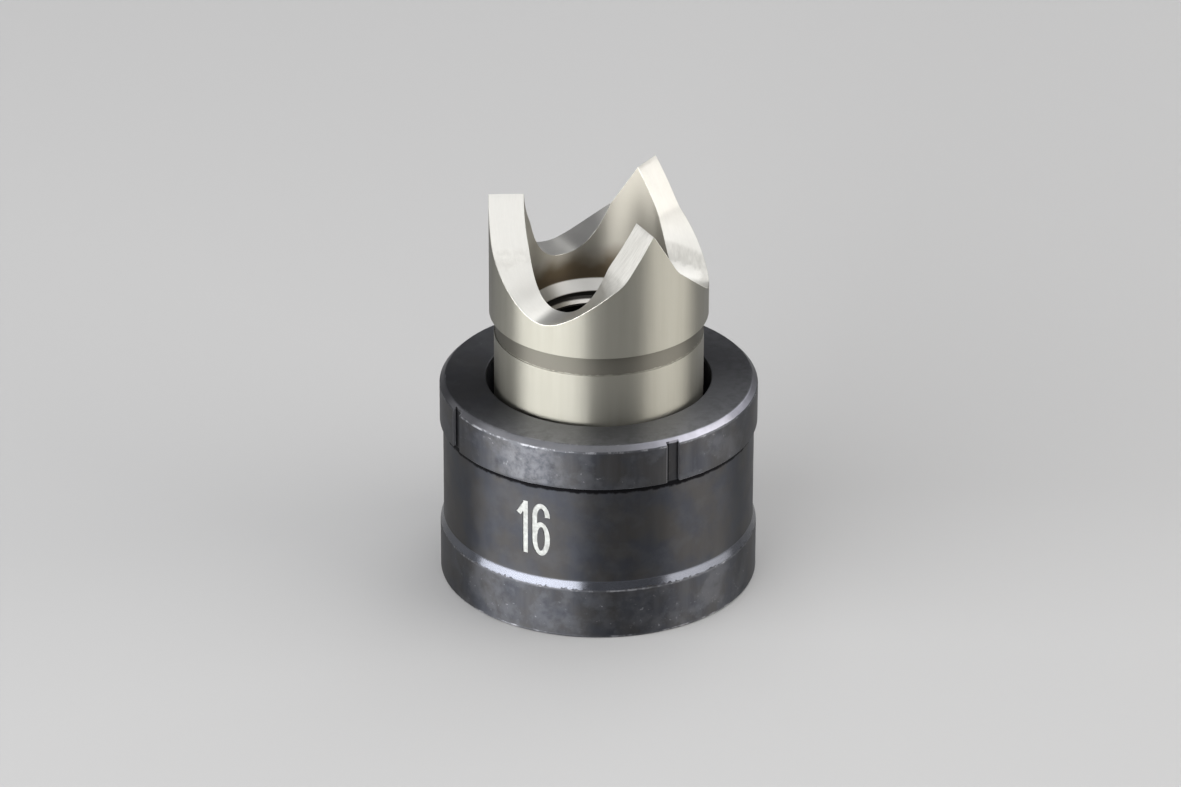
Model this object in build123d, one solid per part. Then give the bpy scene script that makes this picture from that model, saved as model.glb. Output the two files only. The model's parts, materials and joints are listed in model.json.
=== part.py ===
"""A three-point knockout punch standing in its die, in millimetres.

The origin is the centre of the die's foot, +Z is the axis that both pieces share,
and -Y is the front. The die is a cup that stands on its floor. The punch stands in
it foot down, with its three cutting points up.
"""
import os
from math import cos, radians, sin, sqrt, tan

from build123d import *

# The die: a cup with a recessed waist between a foot band and a mouth band
die_height = 15.8
band_diameter = 23.6
waist_step = 0.25
foot_band_height = 3.95
waist_taper_height = 0.7
mouth_band_height = 3.45
foot_chamfer = 0.15
mouth_chamfer = 0.42
floor_thickness = 4.0
stud_clearance = 0.25
stud_hole_chamfer = 0.4

# Alignment notches, cut through the mouth band down to the waist
notch_count = 4
notch_width = 1.0
notch_heading = 28.4

# The size number engraved in the waist, a 1 and a 6
number_heading = -24.0
number_height = 4.3
number_stroke = 0.42
number_depth = 0.06
digit_pitch = 1.4
one_stem_offset = 0.15
one_flag_width = 0.6
one_flag_drop = 1.15
six_width = 1.0
six_bowl_height = 2.36
six_hook_height = 0.9

# The punch: a shank, a turned neck and a crown with three points
cutting_diameter = 16.2
cutting_clearance = 0.25
shank_relief = 0.35
neck_depth = 0.1
neck_height = 1.57
cutting_land_height = 2.24
scallop_depth = 7.17
shank_length = 15.57
foot_edge_chamfer = 0.4
crown_bore_diameter = 11.0
crown_bore_below_scallop = 2.28

# The thread for the draw stud, as a plain bore at its major diameter
thread_diameter = 9.525
thread_foot_chamfer = 0.6

# The scallops between the points: flat flanks, and a root that rises from a flat middle
# to the flanks' feet, faster at the bore than at the cutting diameter
point_count = 3
flank_angle = 57.7
flank_foot_inside = 38.0
flank_foot_outside = 44.0
root_flatness = 0.35
root_power_inside = 2.4
root_steps = 6

# Values worked out from the sizes above
band_radius = band_diameter / 2
waist_radius = band_radius - waist_step
taper_top = foot_band_height + waist_taper_height
mouth_band_bottom = die_height - mouth_band_height
cutting_radius = cutting_diameter / 2
die_bore_radius = cutting_radius + cutting_clearance
stud_hole_radius = thread_diameter / 2 + stud_clearance
shank_radius = cutting_radius - shank_relief
neck_radius = shank_radius - neck_depth
shank_top = floor_thickness + shank_length
neck_top = shank_top + neck_height
scallop_root = neck_top + cutting_land_height
point_height = scallop_root + scallop_depth
crown_bore_radius = crown_bore_diameter / 2
countersink_top = scallop_root - crown_bore_below_scallop
thread_radius = thread_diameter / 2
thread_top = countersink_top - (crown_bore_radius - thread_radius)
half_pitch = 180.0 / point_count

# How far cutting shapes run past what they cut
overshoot = 0.5


def turned(outline):
    """A solid turned round the Z axis from an outline of (radius, height) points."""
    corners = [(radius, 0, height) for radius, height in outline]
    section = make_face(Polyline(*corners, close=True))
    return revolve(section, axis=Axis.Z)


def facing(heading, radius, height):
    """A plane that looks outwards, at a heading turned from the front towards +X."""
    angle = radians(heading)
    across = (cos(angle), sin(angle), 0)
    outwards = (sin(angle), -cos(angle), 0)
    centre = (radius * outwards[0], radius * outwards[1], height)
    return Plane(origin=centre, x_dir=across, z_dir=outwards)


def digit_one():
    """The face of a 1, with its middle at the origin."""
    top = number_height / 2
    stem = Line((one_stem_offset, -top), (one_stem_offset, top))
    flag_start = (one_stem_offset, top - number_stroke / 2)
    flag_end = (one_stem_offset - one_flag_width, top - one_flag_drop)
    return trace(stem, line_width=number_stroke) + trace(Line(flag_start, flag_end), line_width=number_stroke)


def stroke_ring(width, height):
    """The face of an upright oval drawn with one stroke, its middle line as wide and high as given."""
    half_stroke = number_stroke / 2
    outside = Ellipse(width / 2 + half_stroke, height / 2 + half_stroke)
    return outside - Ellipse(width / 2 - half_stroke, height / 2 - half_stroke)


def digit_six():
    """The face of a 6, a bowl, a back and a hook, with its middle at the origin."""
    top = (number_height - number_stroke) / 2
    bowl_middle = six_bowl_height / 2 - top
    hook_foot = top - six_hook_height
    bowl = Pos(0, bowl_middle) * stroke_ring(six_width, six_bowl_height)
    back = trace(Line((-six_width / 2, bowl_middle), (-six_width / 2, hook_foot)), line_width=number_stroke)
    upper_half = Rectangle(number_height, number_height, align=(Align.CENTER, Align.MIN))
    hook = Pos(0, hook_foot) * (stroke_ring(six_width, 2 * six_hook_height) & upper_half)
    return bowl + back + hook


def engraved_number():
    """What the size number takes out of the waist."""
    middle = facing(number_heading, waist_radius + overshoot, (taper_top + mouth_band_bottom) / 2)
    digits = Pos(-digit_pitch / 2, 0) * digit_one()
    digits += Pos(digit_pitch / 2, 0) * digit_six()
    letters = extrude(middle * digits, amount=-waist_radius)
    base = (Align.CENTER, Align.CENTER, Align.MIN)
    skin = Cylinder(waist_radius + overshoot, die_height, align=base)
    skin -= Cylinder(waist_radius - number_depth, die_height, align=base)
    return letters & skin


def make_die():
    """The die, with its notches and its number."""
    blank = turned([
        (stud_hole_radius + stud_hole_chamfer, 0),
        (band_radius - foot_chamfer, 0),
        (band_radius, foot_chamfer),
        (band_radius, foot_band_height),
        (waist_radius, taper_top),
        (waist_radius, mouth_band_bottom),
        (band_radius, mouth_band_bottom),
        (band_radius, die_height - mouth_chamfer),
        (band_radius - mouth_chamfer, die_height),
        (die_bore_radius, die_height),
        (die_bore_radius, floor_thickness),
        (stud_hole_radius, floor_thickness),
        (stud_hole_radius, stud_hole_chamfer),
    ])
    for turn in range(notch_count):
        heading = notch_heading + turn * 360 / notch_count
        middle = facing(heading, waist_radius, (mouth_band_bottom + die_height) / 2)
        depth = waist_step + overshoot
        notch = Box(notch_width, mouth_band_height, depth, align=(Align.CENTER, Align.CENTER, Align.MIN))
        blank -= middle * notch
    return blank - engraved_number()


def at_angle(radius, angle, height):
    """A point at an angle from a scallop's middle, which lies along +X."""
    return Vector(radius * cos(radians(angle)), radius * sin(radians(angle)), height)


def flank_height(radius, angle):
    """Height of a point's flat flank, which falls away from its level ridge."""
    off_ridge = radius * sin(radians(half_pitch - angle))
    return point_height - off_ridge * tan(radians(flank_angle))


def stretched(inside, outside):
    """The two ends of a ruling, run past the bore and past the cutting diameter."""
    reach = (outside - inside) * (overshoot / (cutting_radius - crown_bore_radius))
    return inside - reach, outside + reach


def root_rulings():
    """Rulings across one scallop's root, from one flank's foot to the other's."""
    foot_inside = flank_height(crown_bore_radius, flank_foot_inside)
    foot_outside = flank_height(cutting_radius, flank_foot_outside)
    rulings = []
    for step in range(-root_steps, root_steps + 1):
        along = step / root_steps
        share = sqrt(along**2 + root_flatness**2) - root_flatness
        share /= sqrt(1 + root_flatness**2) - root_flatness
        side = 1 if step > 0 else -1
        angle_inside = side * flank_foot_inside * share ** (1 / root_power_inside)
        height_inside = scallop_root + share * (foot_inside - scallop_root)
        height_outside = scallop_root + share * (foot_outside - scallop_root)
        inside = at_angle(crown_bore_radius, angle_inside, height_inside)
        outside = at_angle(cutting_radius, along * flank_foot_outside, height_outside)
        rulings.append(stretched(inside, outside))
    return rulings


def flank_floor(foot_ruling, side):
    """The flat flank beside one point, from its foot to well above its ridge."""
    past_ridge = overshoot + overshoot
    ridge = radians(side * half_pitch)
    along = Vector(cos(ridge), sin(ridge), 0)
    away = Vector(-sin(ridge), cos(ridge), 0) * side
    lift = Vector(0, 0, past_ridge * tan(radians(flank_angle)))
    reach = away * past_ridge + Vector(0, 0, point_height) + lift
    inner_end = along * (crown_bore_radius - overshoot) + reach
    outer_end = along * (cutting_radius + overshoot) + reach
    return make_face(Polyline(foot_ruling[0], foot_ruling[1], outer_end, inner_end, close=True)).face()


def scallop_cut():
    """What one scallop takes out of the crown, along +X."""
    rulings = root_rulings()
    inner_edge = Spline(*[inside for inside, outside in rulings])
    outer_edge = Spline(*[outside for inside, outside in rulings])
    floors = [
        Face.make_surface_from_curves(inner_edge.edge(), outer_edge.edge()),
        flank_floor(rulings[-1], 1),
        flank_floor(rulings[0], -1),
    ]
    headroom = Vector(0, 0, scallop_depth + die_height)
    cut = Part()
    for floor in floors:
        cut += Solid.extrude(floor, headroom)
    return cut


def make_punch():
    """The punch, turned and then scalloped."""
    blank_top = point_height + overshoot
    punch = turned([
        (thread_radius + thread_foot_chamfer, floor_thickness),
        (shank_radius - foot_edge_chamfer, floor_thickness),
        (shank_radius, floor_thickness + foot_edge_chamfer),
        (shank_radius, shank_top),
        (neck_radius, shank_top),
        (neck_radius, neck_top),
        (cutting_radius, neck_top),
        (cutting_radius, blank_top),
        (crown_bore_radius, blank_top),
        (crown_bore_radius, countersink_top),
        (thread_radius, thread_top),
        (thread_radius, floor_thickness + thread_foot_chamfer),
    ])
    cut = scallop_cut()
    for turn in range(point_count):
        punch -= Rot(0, 0, turn * 360 / point_count) * cut
    return punch


os.makedirs("parts", exist_ok=True)
export_step(make_die(), "parts/die.step")
export_step(make_punch(), "parts/punch.step")
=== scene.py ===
"""A three-point knockout punch standing in its die: its surfaces, a pale studio and the camera.

Pieces are shaped in millimetres and put in the frame's metres when they are finished. Angles
are in degrees, and a heading is turned from the front, -Y, towards +X. Sizes that the frame
holds are read from it, and the rest are named here.
"""
import json
from math import atan2, cos, degrees, hypot, pi, radians, sin, sqrt, tan

import bmesh
import bpy
from mathutils import Matrix, Vector

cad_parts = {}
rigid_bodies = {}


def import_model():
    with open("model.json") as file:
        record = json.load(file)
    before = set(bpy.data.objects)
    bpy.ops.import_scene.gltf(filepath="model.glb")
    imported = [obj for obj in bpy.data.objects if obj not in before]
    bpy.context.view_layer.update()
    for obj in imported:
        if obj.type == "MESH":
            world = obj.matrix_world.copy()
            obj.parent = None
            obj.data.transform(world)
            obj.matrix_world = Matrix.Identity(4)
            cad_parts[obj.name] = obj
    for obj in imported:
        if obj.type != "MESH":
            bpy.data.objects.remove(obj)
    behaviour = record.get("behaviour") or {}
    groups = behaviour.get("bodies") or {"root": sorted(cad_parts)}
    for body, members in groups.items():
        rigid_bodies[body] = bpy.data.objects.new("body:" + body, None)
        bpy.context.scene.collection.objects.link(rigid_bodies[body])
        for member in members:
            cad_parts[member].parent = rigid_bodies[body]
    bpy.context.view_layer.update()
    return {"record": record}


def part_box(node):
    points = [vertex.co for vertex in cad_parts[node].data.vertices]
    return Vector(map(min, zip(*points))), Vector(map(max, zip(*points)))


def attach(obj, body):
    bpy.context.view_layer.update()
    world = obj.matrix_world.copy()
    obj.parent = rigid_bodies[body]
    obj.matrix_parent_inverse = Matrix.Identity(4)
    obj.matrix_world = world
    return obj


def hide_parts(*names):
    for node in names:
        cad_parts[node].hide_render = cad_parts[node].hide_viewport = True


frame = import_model()

MM = 0.001

# Sizes that the frame holds
die_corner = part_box("die")[1] / MM
punch_low, punch_high = (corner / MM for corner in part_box("punch"))
mounts = {mount["name"]: mount for mount in frame["record"]["mounts"]}
BAND_RADIUS = die_corner.x
DIE_HEIGHT = die_corner.z
FLOOR_THICKNESS = punch_low.z
CUTTING_RADIUS = punch_high.y
POINT_HEIGHT = punch_high.z
THREAD_RADIUS = mounts["punch_thread"]["dims"]["r_mm"]
THREAD_LENGTH = mounts["punch_thread"]["dims"]["length_mm"]
THREAD_MIDDLE = mounts["punch_thread"]["pos_m"][2] / MM
STUD_HOLE_RADIUS = mounts["stud_hole"]["dims"]["r_mm"]

# The die
WAIST_STEP = 0.25
FOOT_BAND_HEIGHT = 3.95
WAIST_TAPER_HEIGHT = 0.7
MOUTH_BAND_HEIGHT = 3.45
FOOT_CHAMFER = 0.15
MOUTH_CHAMFER = 0.42
CUTTING_CLEARANCE = 0.25
STUD_HOLE_CHAMFER = 0.4
WAIST_RADIUS = BAND_RADIUS - WAIST_STEP
TAPER_TOP = FOOT_BAND_HEIGHT + WAIST_TAPER_HEIGHT
MOUTH_BAND_BOTTOM = DIE_HEIGHT - MOUTH_BAND_HEIGHT
DIE_BORE_RADIUS = CUTTING_RADIUS + CUTTING_CLEARANCE

NOTCH_COUNT = 4
NOTCH_WIDTH = 1.0
NOTCH_HEADING = 28.4

# The size number, engraved in the waist
NUMBER_HEADING = -24.0
NUMBER_HEIGHT = 4.3
NUMBER_STROKE = 0.42
NUMBER_DEPTH = 0.06
DIGIT_PITCH = 1.4
ONE_STEM_OFFSET = 0.15
ONE_FLAG_WIDTH = 0.6
ONE_FLAG_DROP = 1.15
SIX_WIDTH = 1.0
SIX_BOWL_HEIGHT = 2.36
SIX_HOOK_HEIGHT = 0.9

# The punch
SHANK_RELIEF = 0.35
NECK_DEPTH = 0.1
NECK_HEIGHT = 1.57
CUTTING_LAND_HEIGHT = 2.24
SCALLOP_DEPTH = 7.17
FOOT_EDGE_CHAMFER = 0.4
THREAD_FOOT_CHAMFER = 0.6
CROWN_BORE_RADIUS = 5.5
SHANK_RADIUS = CUTTING_RADIUS - SHANK_RELIEF
NECK_RADIUS = SHANK_RADIUS - NECK_DEPTH
SCALLOP_ROOT = POINT_HEIGHT - SCALLOP_DEPTH
NECK_TOP = SCALLOP_ROOT - CUTTING_LAND_HEIGHT
SHANK_TOP = NECK_TOP - NECK_HEIGHT
THREAD_TOP = THREAD_MIDDLE + THREAD_LENGTH / 2
COUNTERSINK_TOP = THREAD_TOP + CROWN_BORE_RADIUS - THREAD_RADIUS

# The crown: flat flanks beside each point, and a curved root between two flanks. The bend at a
# flank's foot is rounded over FOOT_ROUNDING degrees to each side.
POINT_COUNT = 3
FLANK_ANGLE = 57.7
FLANK_FOOT_INSIDE = 38.0
FLANK_FOOT_OUTSIDE = 44.0
ROOT_FLATNESS = 0.35
ROOT_POWER_INSIDE = 2.4
HALF_PITCH = 180.0 / POINT_COUNT
FLANK_FOOT = (FLANK_FOOT_INSIDE + FLANK_FOOT_OUTSIDE) / 2
FOOT_ROUNDING = 3.0

# The die's worn edges: the radius, the height and the width of each line
WORN_EDGES = [
    (BAND_RADIUS, DIE_HEIGHT - MOUTH_CHAMFER, 0.13),
    (BAND_RADIUS - MOUTH_CHAMFER, DIE_HEIGHT, 0.08),
    (BAND_RADIUS, FOOT_BAND_HEIGHT, 0.10),
    (BAND_RADIUS, FOOT_CHAMFER, 0.12),
    (BAND_RADIUS, MOUTH_BAND_BOTTOM, 0.05),
    (DIE_BORE_RADIUS, DIE_HEIGHT, 0.06),
]

# Where the die's finish differs round the axis: from, to, and the softness of the two ends
# A patch rubbed bare in smears, partly wear and partly a painted highlight
HANDLED_AND_HIGHLIGHT_SIDE = (-36, -15, 9)
# A painted reflection over the top face
FACE_REFLECTION_SIDE = (-42, 140, 26)
# A painted highlight along the mouth chamfer
CHAMFER_HIGHLIGHT_SIDE = (22, 80, 18)

# The thread's ridges, and the angle from +X at which the helix begins
THREAD_PITCH = 25.4 / 24
THREAD_DEPTH = 0.5
THREAD_CREST = 0.13
THREAD_SEAT = 0.03
THREAD_START = 199.0
THREAD_STEPS = 72

# Colours of the metals
OXIDE_COOL = (0.042, 0.045, 0.054)
OXIDE_WARM = (0.053, 0.051, 0.050)
OXIDE_TAPER = (0.096, 0.101, 0.117)
RUBBED_COLOUR = (0.100, 0.103, 0.113)
FACE_COLOUR = (0.160, 0.163, 0.170)
CHAMFER_DULL = (0.17, 0.172, 0.185)
# The painted highlight on the mouth chamfer
CHAMFER_PAINTED_HIGHLIGHT = (0.52, 0.52, 0.59)
BARE_COLOUR = (0.40, 0.405, 0.43)
# Near-black painted shade, under the mouth band and in the notches
PAINTED_SHADE_COLOUR = (0.006, 0.006, 0.007)
NUMBER_COLOUR = (0.41, 0.42, 0.41)
NUMBER_DULL = (0.29, 0.295, 0.285)
NICKEL_COLOUR = (0.275, 0.268, 0.232)
NICKEL_LIGHT = (0.315, 0.307, 0.268)
NECK_COLOUR = (0.175, 0.168, 0.145)
BORE_COLOUR = (0.44, 0.42, 0.37)
# Brown darkening towards the foot of the bore
BORE_DARKENED_COLOUR = (0.13, 0.09, 0.045)
SEAT_COLOUR = (0.68, 0.67, 0.64)
# Near-black painted shade between the thread's ridges
THREAD_GROOVE_SHADE = (0.035, 0.033, 0.030)
MILLED_COLOUR = (0.79, 0.78, 0.74)
MILLED_DARK = (0.36, 0.35, 0.32)
EDGE_COLOUR = (0.52, 0.51, 0.47)
THREAD_COLOUR = (0.66, 0.64, 0.60)
# The thread's darkening further down the bore
THREAD_DARKENED = (0.10, 0.09, 0.075)

# Roughness of the finishes, where a pair is mixed in patches
OXIDE_ROUGHNESS = (0.48, 0.54)
TAPER_ROUGHNESS = 0.27
CHAMFER_ROUGHNESS = 0.36
FACE_ROUGHNESS = 0.36
# Roughness where shade is painted, under the mouth band and in the notches
PAINTED_SHADE_ROUGHNESS = 0.8
NOTCH_WALL_ROUGHNESS = 0.95
NUMBER_ROUGHNESS = 0.55
NICKEL_ROUGHNESS = (0.49, 0.53)
DULL_ROUGHNESS = 0.62
SEAT_ROUGHNESS = 0.36
MILLED_ROUGHNESS = (0.33, 0.39)
RIGHT_ROUGHNESS = 0.41
MARKED_ROUGHNESS = 0.45
THREAD_ROUGHNESS = (0.22, 0.32)

# How far the turning round the axis sets the direction of the lathe marks beside the surface's own
# direction, per millimetre from the axis. On flat faces it sets it alone.
FACE_SHARE = 0.004

# Measures of the masks: how far one ends from the edge that it follows, the softness of those at the
# notches, the reach of those on the notches' walls, and the height over which the bore's darkening fades
MARGIN = 0.02
NOTCH_EDGE = 0.01
NOTCH_WALL = 0.03
BORE_DARKENING_FADE = 2.2

# How strongly a finish shows where it is weakest and where it is strongest, and how far down in
# millimetres the cutter marks reach below a flank, at the right last
BAND_RUBBED = (0.25, 0.7)
# The top face is rubbed grey all round, and further over one side as a painted reflection
FACE_WEAR_AND_REFLECTION = (0.42, 0.95)
FACE_SMEARED = (0.08, 0.26)
CHAMFER_SHOWN = (0.75, 1.0)
GROOVES_SHOWN = (0.35, 1.0)
GROUND_SHOWN = (0.08, 0.36)
# How strongly the thread darkens further down the bore, in specks
THREAD_DARKENING_SHOWN = (0.62, 0.82)
MARKS_REACH = (0.8, 0.65)

# How much a ragged line moves: at the taper, the chamfer, the painted shade in the corner under the
# mouth band and the neck, and how much the upper end of the bore's darkening does
TAPER_RAGGEDNESS = 0.16
CHAMFER_RAGGEDNESS = 0.05
CORNER_RAGGEDNESS = 0.2
NECK_RAGGEDNESS = 0.12
BORE_DARKENING_RAGGEDNESS = 1.4

# Where masks begin and end: at a notch from its left edge, from its left wall and below the die's
# top, on the crown along X or Y, and on the thread below its top and inside its major radius
NOTCH_LINE = (0.02, 0.09)
NOTCH_SHADE = (0.2, 0.34)
NOTCH_TOP = (0.19, 0.165)
RIGHT_FLANK_X = (2.5, 4.0)
FRONT_FLANK_X = (0.4, 1.8)
FRONT_FLANK_Y = (-5.2, -3.8)
THREAD_BRIGHT = (2.6, 0.9)
THREAD_ROOT = (0.3, 0.17)

# How far the cutter marks at the crown's right are lowered, per millimetre along X and besides, and
# how fine the noise of the grinding lines is across the crown's wall and along it
MARKS_SLOPE = 0.38
MARKS_DROP = -0.25
LINES_ACROSS = 9.0
LINES_ALONG = 0.9

# Worn lines: the middle of a noise, how far it moves a line's sides, and the share fully worn
NOISE_MIDDLE = 0.5
RAGGED_REACH = 4.0
WORN_CORE = 0.3

# A quarter of a turn, as shaders count it, and a mix node's two sources and its result, by kind
QUARTER_TURN = 0.25
MIX_SOCKETS = {"RGBA": (6, 7, 2), "FLOAT": (2, 3, 0)}

# Fineness of the meshes, the rounding of their edges, and the crown's material slots
TURN_STEPS = 360
RING_STEPS = 64
BAR_STEPS = 4
ROUNDING_STEPS = 3
CROWN_EDGE_STEPS = 2
EDGE_ROUNDING = 0.05
SOFT_ROUNDING = 2 * EDGE_ROUNDING
TAPER_ROUNDING = 3 * EDGE_ROUNDING
CROWN_EDGE = 0.035
CUTTER_HEADROOM = 0.5
SHARP_ANGLE = 35.0
WELD = 0.001
MILLED_SLOT = 1
EDGE_SLOT = 2

# The lamps: name, heading, elevation, distance, width, height, radiance and tint
LOW_LAMP = 500
HIGH_LAMP = 560
NEUTRAL = (1.0, 1.0, 1.0)
WARM = (1.0, 0.97, 0.93)
LAMPS = [
    ("left_softbox", -50, 11, LOW_LAMP, 780, 180, 15.0, NEUTRAL),
    ("right_softbox", 77, 12, LOW_LAMP, 520, 200, 6.8, WARM),
    ("top_softbox", 44, 58, HIGH_LAMP, 1000, 800, 0.88, NEUTRAL),
    ("back_softbox", 142, 38, HIGH_LAMP, 400, 380, 0.9, NEUTRAL),
    ("over_softbox", 180, 66, HIGH_LAMP, 420, 380, 1.3, NEUTRAL),
    ("rim_softbox", -112, 14, LOW_LAMP, 240, 240, 1.0, NEUTRAL),
]

# The floor, the surround, and the camera, whose focal length is in pixels of the photograph
FLOOR_REACH = 1500.0
FLOOR_COLOUR = (0.50, 0.50, 0.50)
FLOOR_ROUGHNESS = 0.7
SURROUND = (0.14, 0.14, 0.147)
PHOTO_WIDTH = 1181
FOCAL_PIXELS = 6577.7
SENSOR_WIDTH = 36.0
CAMERA_BACK = 434.27
CAMERA_HEIGHT = 236.49
CAMERA_HEADING = 0.84
CAMERA_PITCH = 27.105
CAMERA_YAW = 0.08
CAMERA_ROLL = 0.137
CLIP_START = 10.0
CLIP_END = 10000.0


def finished(name, shell, body, slot, *materials):
    """A piece made from a bmesh, riding on a body. Its slot is not used."""
    bmesh.ops.scale(shell, vec=(MM, MM, MM), verts=shell.verts)
    mesh = bpy.data.meshes.new(name)
    shell.to_mesh(mesh)
    shell.free()
    for material in materials:
        mesh.materials.append(material)
    piece = bpy.data.objects.new(name, mesh)
    bpy.context.scene.collection.objects.link(piece)
    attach(piece, body)
    return piece


def turned(outline):
    """A closed shell spun round the Z axis from (radius, height, rounding) corners."""
    shell = bmesh.new()
    corners = [shell.verts.new((radius, 0, height)) for radius, height, rounding in outline]
    for corner, following in zip(corners, corners[1:] + corners[:1]):
        shell.edges.new((corner, following))
    for corner, (radius, height, rounding) in zip(corners, outline):
        if rounding:
            bmesh.ops.bevel(shell, geom=[corner], offset=rounding, offset_type="OFFSET",
                            affect="VERTICES", segments=ROUNDING_STEPS, profile=0.5, material=-1)
    bmesh.ops.spin(shell, geom=shell.verts[:] + shell.edges[:], cent=(0, 0, 0), axis=(0, 0, 1),
                   angle=2 * pi, steps=TURN_STEPS, use_merge=True)
    bmesh.ops.remove_doubles(shell, verts=shell.verts[:], dist=WELD)
    bmesh.ops.recalc_face_normals(shell, faces=shell.faces[:])
    return shell


def shaded(piece):
    """Smooth shading over round stretches, with flat faces kept flat beside their rounded edges.

    The normals come from a copy in millimetres, because the modifier that weights them by area
    gives up on faces as small as these are in metres.
    """
    piece.data.shade_smooth()
    piece.data.set_sharp_from_angle(angle=radians(SHARP_ANGLE))
    copy = bpy.data.objects.new("copy", piece.data.copy())
    copy.data.transform(Matrix.Scale(1 / MM, 4))
    bpy.context.scene.collection.objects.link(copy)
    copy.modifiers.new("flat_faces", "WEIGHTED_NORMAL").keep_sharp = True
    weighted = copy.evaluated_get(bpy.context.evaluated_depsgraph_get()).to_mesh()
    piece.data.normals_split_custom_set([corner.vector for corner in weighted.corner_normals])
    bpy.data.objects.remove(copy)


def vertices(parts):
    """The vertices among the parts that an operator made."""
    return [part for part in parts if isinstance(part, bmesh.types.BMVert)]


def flat_ring(width, height, stroke):
    """A flat elliptical ring of one stroke, with its middle line through the given width and height."""
    ring = bmesh.new()
    outer = bmesh.ops.create_circle(ring, segments=RING_STEPS, radius=1.0)["verts"]
    bmesh.ops.scale(ring, vec=(width / 2 + stroke / 2, height / 2 + stroke / 2, 1), verts=outer)
    inner = vertices(bmesh.ops.extrude_edge_only(ring, edges=ring.edges[:])["geom"])
    shrink = ((width - stroke) / (width + stroke), (height - stroke) / (height + stroke), 1)
    bmesh.ops.scale(ring, vec=shrink, verts=inner)
    return ring


def flat_bar(start, end, stroke):
    """A flat bar of one stroke between two points."""
    bar = bmesh.new()
    run = Vector(end) - Vector(start)
    place = Matrix.Translation((Vector(start) + Vector(end)).to_3d() / 2)
    turn = Matrix.Rotation(atan2(run.y, run.x), 4, "Z")
    size = Matrix.Diagonal((run.length, stroke, 1, 1))
    bmesh.ops.create_grid(bar, x_segments=BAR_STEPS, y_segments=1, size=0.5, matrix=place @ turn @ size)
    return bar


def digit_one():
    """The two strokes of a 1, with its middle at the origin."""
    top = NUMBER_HEIGHT / 2
    stem = flat_bar((ONE_STEM_OFFSET, -top), (ONE_STEM_OFFSET, top), NUMBER_STROKE)
    flag_start = (ONE_STEM_OFFSET, top - NUMBER_STROKE / 2)
    flag_end = (ONE_STEM_OFFSET - ONE_FLAG_WIDTH, top - ONE_FLAG_DROP)
    return [stem, flat_bar(flag_start, flag_end, NUMBER_STROKE)]


def digit_six():
    """The bowl, the back and the hook of a 6, with its middle at the origin."""
    top = (NUMBER_HEIGHT - NUMBER_STROKE) / 2
    bowl_middle = SIX_BOWL_HEIGHT / 2 - top
    hook_foot = top - SIX_HOOK_HEIGHT
    bowl = flat_ring(SIX_WIDTH, SIX_BOWL_HEIGHT, NUMBER_STROKE)
    back = flat_bar((-SIX_WIDTH / 2, bowl_middle), (-SIX_WIDTH / 2, hook_foot), NUMBER_STROKE)
    hook = flat_ring(SIX_WIDTH, 2 * SIX_HOOK_HEIGHT, NUMBER_STROKE)
    bmesh.ops.bisect_plane(hook, geom=hook.verts[:] + hook.edges[:] + hook.faces[:],
                           plane_co=(0, 0, 0), plane_no=(0, -1, 0), clear_outer=True)
    bmesh.ops.translate(bowl, vec=(0, bowl_middle, 0), verts=bowl.verts)
    bmesh.ops.translate(hook, vec=(0, hook_foot, 0), verts=hook.verts)
    return [bowl, back, hook]


def number_cutters():
    """The strokes of the size number as thick shapes, wrapped round the waist."""
    middle = (TAPER_TOP + MOUTH_BAND_BOTTOM) / 2
    strokes = [(stroke, -DIGIT_PITCH / 2) for stroke in digit_one()]
    strokes += [(stroke, DIGIT_PITCH / 2) for stroke in digit_six()]
    for stroke, across in strokes:
        raised = vertices(bmesh.ops.extrude_face_region(stroke, geom=stroke.faces[:])["geom"])
        bmesh.ops.translate(stroke, vec=(0, 0, CUTTER_HEADROOM + NUMBER_DEPTH), verts=raised)
        for vert in stroke.verts:
            radius = WAIST_RADIUS - NUMBER_DEPTH + vert.co.z
            heading = radians(NUMBER_HEADING) + (vert.co.x + across) / WAIST_RADIUS
            vert.co = (radius * sin(heading), -radius * cos(heading), middle + vert.co.y)
        bmesh.ops.recalc_face_normals(stroke, faces=stroke.faces[:])
        if stroke.calc_volume(signed=True) < 0:
            bmesh.ops.reverse_faces(stroke, faces=stroke.faces[:])
    return [stroke for stroke, across in strokes]


def notch_cutters():
    """A block for each alignment notch, with its floor level with the waist."""
    cutters = []
    depth = WAIST_STEP + CUTTER_HEADROOM
    height = MOUTH_BAND_HEIGHT + CUTTER_HEADROOM
    size = Matrix.Diagonal((NOTCH_WIDTH, depth, height, 1))
    place = Matrix.Translation((0, -WAIST_RADIUS - depth / 2, MOUTH_BAND_BOTTOM + height / 2))
    for turn in range(NOTCH_COUNT):
        block = bmesh.new()
        heading = radians(NOTCH_HEADING + turn * 360 / NOTCH_COUNT)
        bmesh.ops.create_cube(block, size=1, matrix=Matrix.Rotation(heading, 4, "Z") @ place @ size)
        cutters.append(block)
    return cutters


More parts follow.
